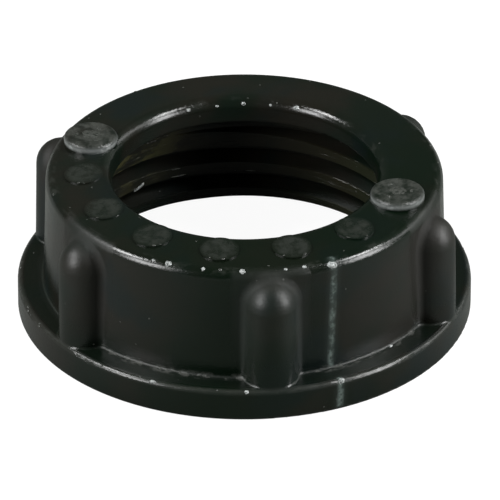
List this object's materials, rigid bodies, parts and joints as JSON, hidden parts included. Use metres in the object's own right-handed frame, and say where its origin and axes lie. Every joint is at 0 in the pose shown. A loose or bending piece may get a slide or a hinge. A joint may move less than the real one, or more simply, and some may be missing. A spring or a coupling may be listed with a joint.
{
  "type": "conduit bushing",
  "caption": "Black moulded plastic conduit bushing: flanged ring with domed grip ribs, rounded throat and female pipe thread, screwed on a conduit's end to protect the wires.",
  "frame": {"origin": "on the axis, in the plane of the open rim that it stands on", "axes": "+Z along the bore from the open threaded end to the rounded throat; a grip rib faces -Y"},
  "size_m": [0.0274, 0.0274, 0.0099],
  "materials": {
    "black_plastic": "satin moulded thermoplastic, near black with a faint green cast"
  },
  "bodies": {
    "root": {"bushing": "black_plastic"}
  },
  "joints": []
}
